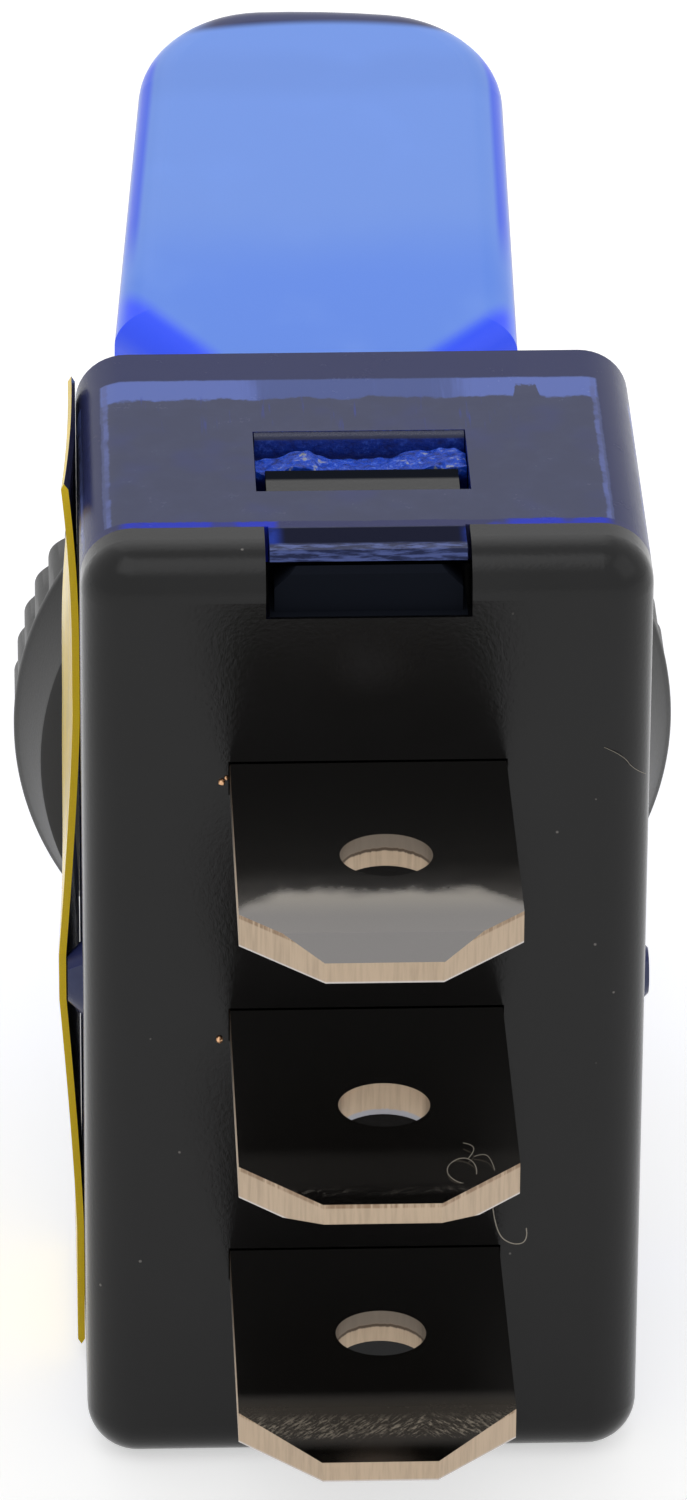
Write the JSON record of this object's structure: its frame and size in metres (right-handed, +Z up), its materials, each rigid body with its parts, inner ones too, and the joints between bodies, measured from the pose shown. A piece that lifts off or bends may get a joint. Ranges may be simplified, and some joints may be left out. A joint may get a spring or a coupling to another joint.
{
  "type": "toggle switch",
  "caption": "Illuminated duckbill toggle switch with a round panel nut, threaded bushing, snap-together case and flat blade terminals.",
  "frame": {"origin": "where the bushing's axis meets the case's mounting face", "axes": "+Y out of the back along the terminals, -Y out along the lever, +Z up along the case's long side"},
  "size_m": [0.0162, 0.047, 0.0242],
  "materials": {
    "housing_blue": "clear dark blue moulding",
    "base_black": "semi-gloss black moulding",
    "tinned_brass": "bright tin plate with sheared edges",
    "contact_silver": "polished silver",
    "spring_bronze": "rolled bronze",
    "pin_steel": "drawn steel",
    "lever_blue": "frosted light blue moulding",
    "lamp_lens": "clear epoxy",
    "resistor_body": "coated film",
    "lead_wire": "tinned wire",
    "plunger_nylon": "white nylon",
    "nut_black": "black moulding with a fine knurl",
    "label_yellow": "glossy film"
  },
  "bodies": {
    "case": {"front_housing": "housing_blue", "rear_base": "base_black", "terminal_load": "tinned_brass", "terminal_supply": "tinned_brass", "terminal_ground": "tinned_brass", "contact_fixed": "contact_silver", "rocker_cradle": "spring_bronze", "ground_strip": "spring_bronze", "pivot_pin": "pin_steel", "side_label": "label_yellow"},
    "lever": {"lever_paddle": "lever_blue", "led_lamp": "lamp_lens", "lamp_resistor": "resistor_body", "lamp_lead": "lead_wire", "resistor_lead": "lead_wire", "ground_lead": "lead_wire", "ground_ring": "spring_bronze", "plunger_spring": "pin_steel"},
    "plunger": {"plunger": "plunger_nylon"},
    "rocker": {"contact_rocker": "spring_bronze", "contact_moving": "contact_silver"},
    "nut": {"panel_nut": "nut_black"}
  },
  "joints": [
    {"name": "lever_pivot", "type": "hinge", "parent": "case", "child": "lever", "pos_m": [0, -0.0025, 0], "axis": [1, 0, 0], "range_deg": [0, 40]},
    {"name": "plunger_stroke", "type": "slide", "parent": "lever", "child": "plunger", "axis": [0, 0.9397, -0.342], "range_m": [-0.0006, 0], "stiffness_N_per_m": 300, "deforming": ["plunger_spring"]},
    {"name": "rocker_pivot", "type": "hinge", "parent": "case", "child": "rocker", "pos_m": [0, 0.0073, 0], "axis": [1, 0, 0], "range_deg": [-12, 0]},
    {"name": "nut_travel", "type": "slide", "parent": "case", "child": "nut", "axis": [0, -1, 0], "range_m": [-0.0014, 0.0033]}
  ],
  "couplings": [
    {"joint": "rocker_pivot", "follows": "lever_pivot", "ratio": -0.3}
  ]
}
